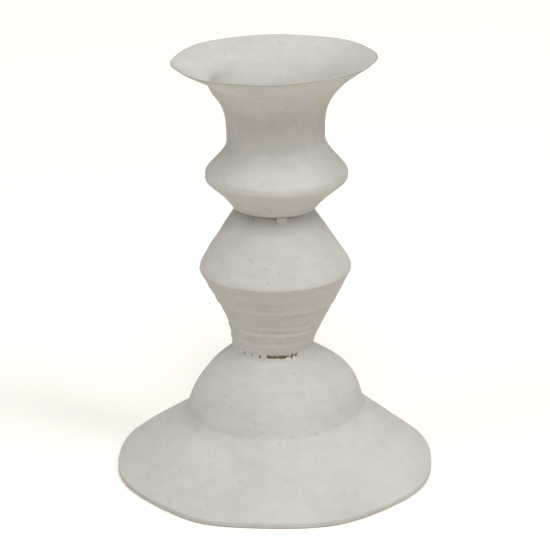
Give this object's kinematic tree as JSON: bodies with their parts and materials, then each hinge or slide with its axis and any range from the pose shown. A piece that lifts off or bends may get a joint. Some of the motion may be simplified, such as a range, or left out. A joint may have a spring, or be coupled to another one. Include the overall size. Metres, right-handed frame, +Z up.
{
  "type": "candlestick",
  "caption": "Low candlestick of thin formed sheet-metal shells: flared drip rim and neck on a rounded bead, a double-cone drum and a domed, skirted base.",
  "frame": {"origin": "middle of the face of the folded edge that stands on the table", "axes": "+Z up along the axis of the candlestick, -Y towards the viewer's side, where the plainest tack of the upper joint is"},
  "size_m": [0.0886, 0.0886, 0.1157],
  "materials": {
    "limewashed_sheet": "thin chalky off-white limewash over steel sheet, brushed and dabbed on, mottled and chipped at the joints",
    "socket_steel": "drawn steel, dull, with wax film and light tarnish",
    "zinc_steel": "dull zinc-plated hardware with a little white and brown bloom",
    "rusty_braze": "rough, rust-brown, crumbly braze that the whitewash has flaked off"
  },
  "bodies": {
    "root": {"drip_bell": "limewashed_sheet", "bead_bowl": "limewashed_sheet", "candle_socket": "socket_steel", "tie_bolt": "zinc_steel", "upper_joint_tacks": "limewashed_sheet", "drum_upper_cone": "limewashed_sheet", "drum_lower_cone": "limewashed_sheet", "lower_joint_braze": "rusty_braze", "base_shell": "limewashed_sheet", "spreader_washer": "zinc_steel", "lock_washer": "zinc_steel", "hex_nut": "zinc_steel"}
  },
  "joints": []
}
